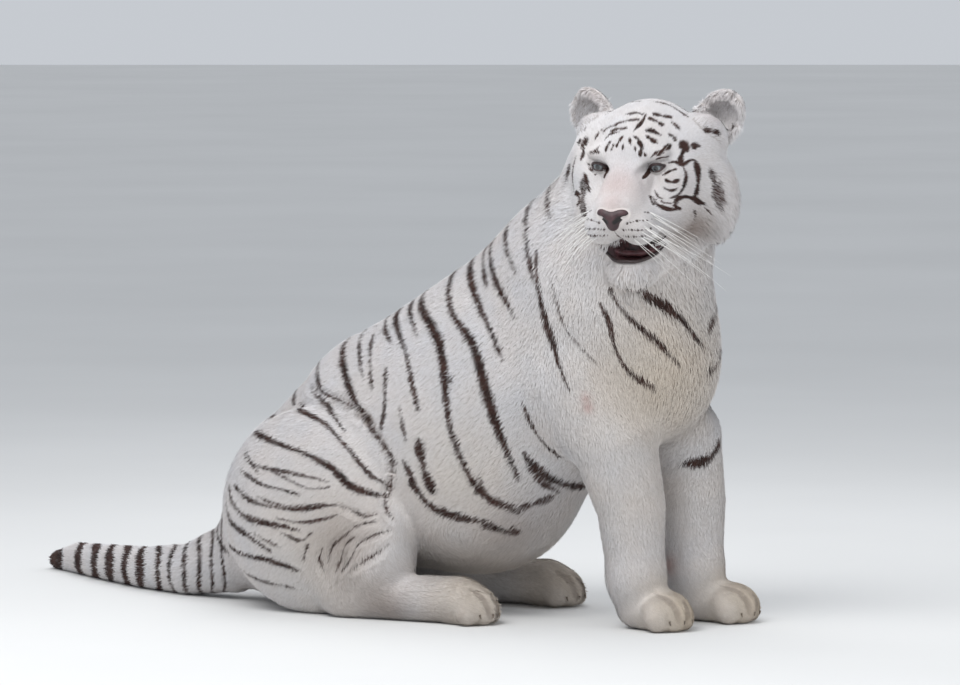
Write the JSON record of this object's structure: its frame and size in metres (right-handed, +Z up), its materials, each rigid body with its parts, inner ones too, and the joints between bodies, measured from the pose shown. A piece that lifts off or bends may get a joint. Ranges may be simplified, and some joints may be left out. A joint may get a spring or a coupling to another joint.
{
  "type": "white tiger",
  "caption": "Life-size still model of a white tiger sitting on its haunches, head turned to its right, tail laid out behind.",
  "frame": {"origin": "middle of the animal's bounding box, on the floor it sits on", "axes": "+Z up, -Y the way the body faces, -X the animal's right side, towards which the head is turned"},
  "size_m": [0.6695, 1.9929, 1.1663],
  "materials": {
    "coat": "short pale fur with dark brown stripes",
    "ear_fur": "thin grey-pink fur inside, pale behind",
    "tail_fur": "pale fur with dark brown rings",
    "nose_leather": "dark plum, damp",
    "eye": "clear cornea over a grey-blue iris"
  },
  "bodies": {
    "root": {"eye_left": "eye", "eye_right": "eye", "nose": "nose_leather", "ear_left": "ear_fur", "ear_right": "ear_fur", "lower_jaw": "coat", "head": "coat", "neck": "coat", "forepaw_left": "coat", "forearm_left": "coat", "shoulder_left": "coat", "forepaw_right": "coat", "forearm_right": "coat", "shoulder_right": "coat", "hind_foot_left": "coat", "shank_left": "coat", "thigh_left": "coat", "hind_foot_right": "coat", "shank_right": "coat", "thigh_right": "coat", "tail_tip": "tail_fur", "tail_middle": "tail_fur", "tail_base": "tail_fur", "chest": "coat", "belly": "coat", "hips": "coat"}
  },
  "joints": []
}
